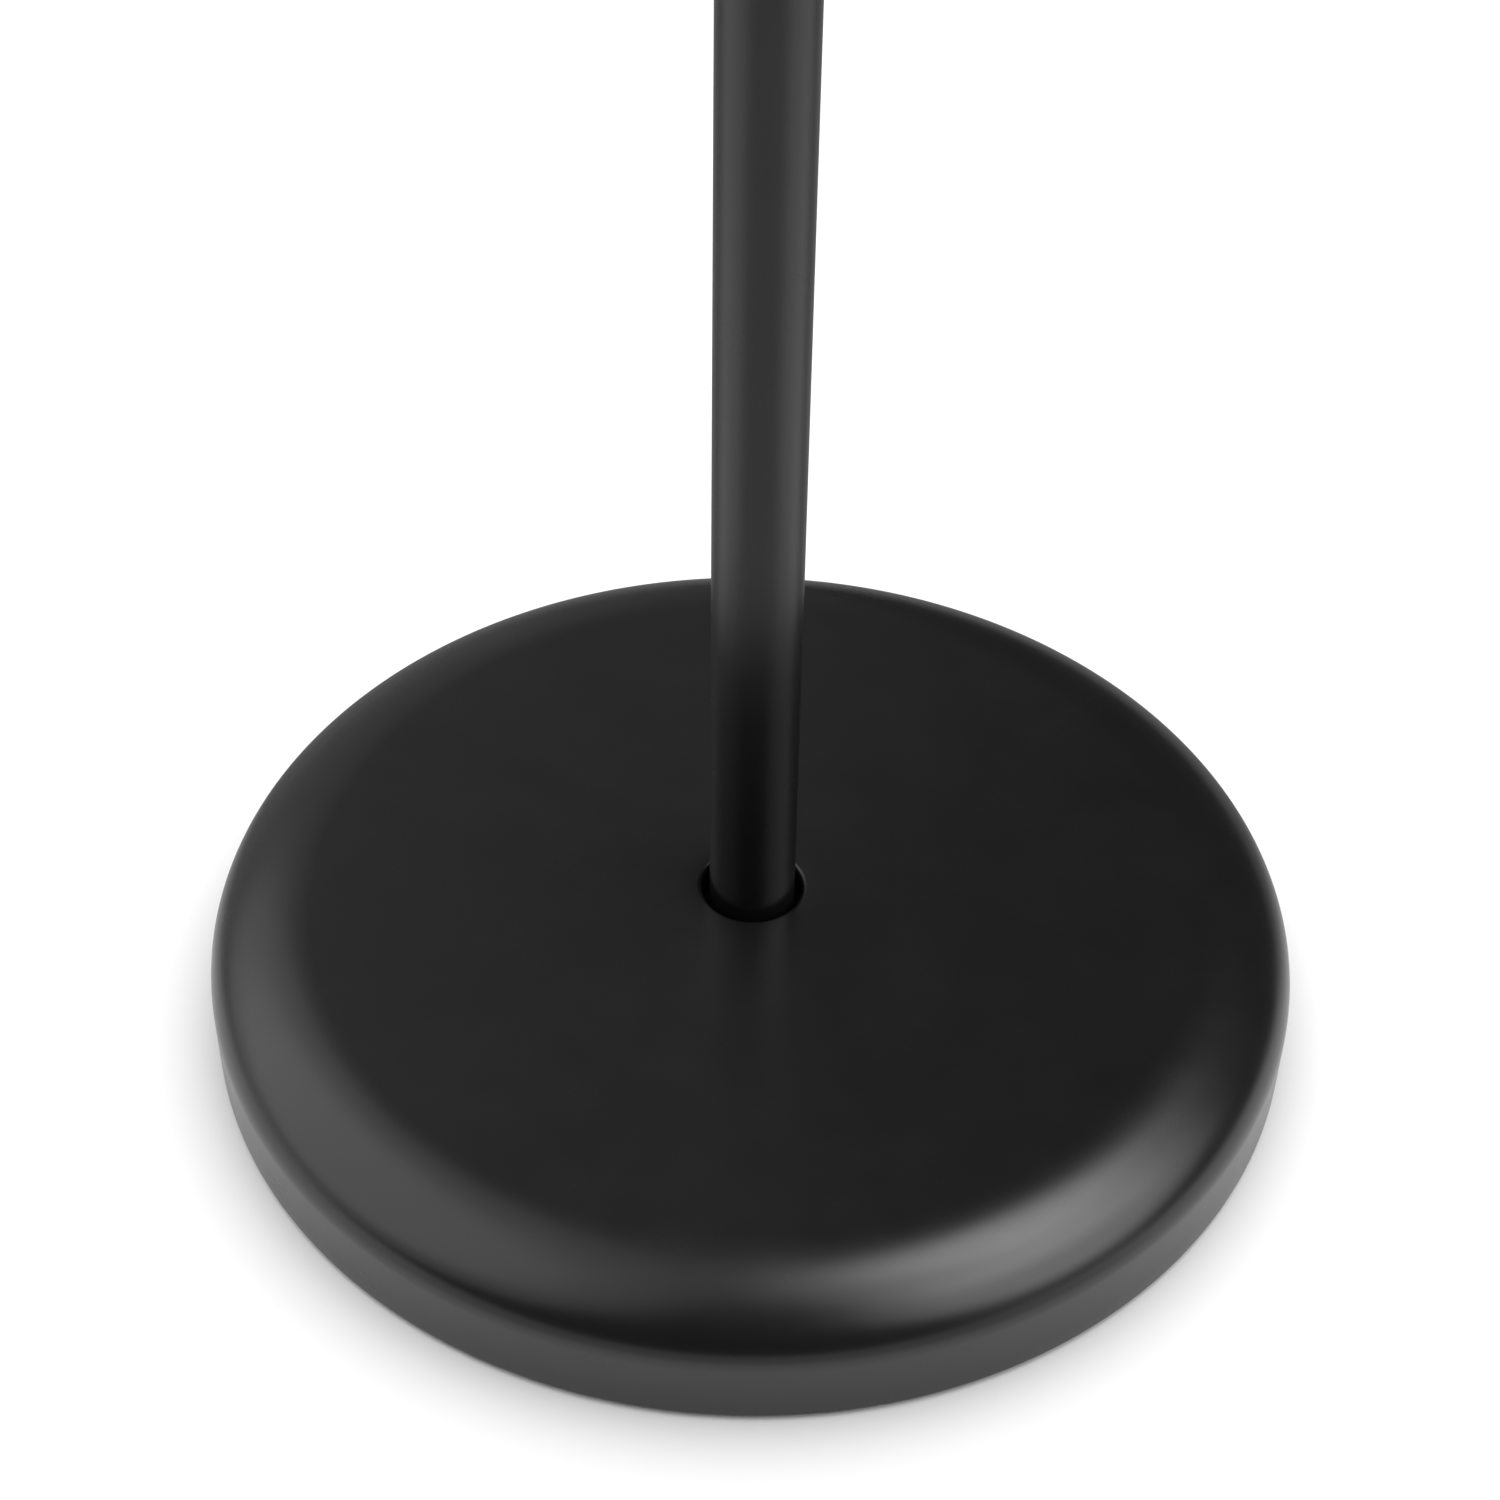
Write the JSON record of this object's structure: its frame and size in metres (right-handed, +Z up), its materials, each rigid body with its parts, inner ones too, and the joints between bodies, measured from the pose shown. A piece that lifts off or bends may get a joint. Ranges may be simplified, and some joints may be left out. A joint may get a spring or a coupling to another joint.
{
  "type": "standing coat rack",
  "caption": "Free-standing coat rack: heavy round base with a rolled shoulder, slim round pole in screwed sections, and double hooks with ball tips around its top.",
  "frame": {"origin": "on the floor, at the middle of the round base and on the pole's axis", "axes": "+Z up along the pole; the hooks point along +X, +Y, -X and -Y"},
  "size_m": [0.356, 0.356, 1.76],
  "materials": {
    "powder_coat": "satin",
    "rubber": "matte",
    "plate_steel": "satin",
    "concrete": "matte",
    "zinc_steel": "satin",
    "ball_plastic": "satin"
  },
  "bodies": {
    "root": {"base_cover": "powder_coat", "pole_seat": "powder_coat", "pole_lower": "powder_coat", "pole_middle": "powder_coat", "pole_upper": "powder_coat", "top_knob": "powder_coat", "hook_right": "powder_coat", "hook_back": "powder_coat", "hook_left": "powder_coat", "hook_front": "powder_coat", "non_slip_ring": "rubber", "base_plate": "plate_steel", "base_weight": "concrete", "base_bolt": "zinc_steel", "spring_washer": "zinc_steel", "flat_washer": "zinc_steel", "foot_insert": "zinc_steel", "lower_joint_socket": "zinc_steel", "lower_joint_stud": "zinc_steel", "lower_joint_plug": "zinc_steel", "upper_joint_socket": "zinc_steel", "upper_joint_stud": "zinc_steel", "upper_joint_plug": "zinc_steel", "top_insert": "zinc_steel", "knob_stud": "zinc_steel", "hook_screws": "zinc_steel", "rivet_nuts": "zinc_steel", "hat_tip_right": "ball_plastic", "coat_tip_right": "ball_plastic", "hat_tip_back": "ball_plastic", "coat_tip_back": "ball_plastic", "hat_tip_left": "ball_plastic", "coat_tip_left": "ball_plastic", "hat_tip_front": "ball_plastic", "coat_tip_front": "ball_plastic"}
  },
  "joints": []
}
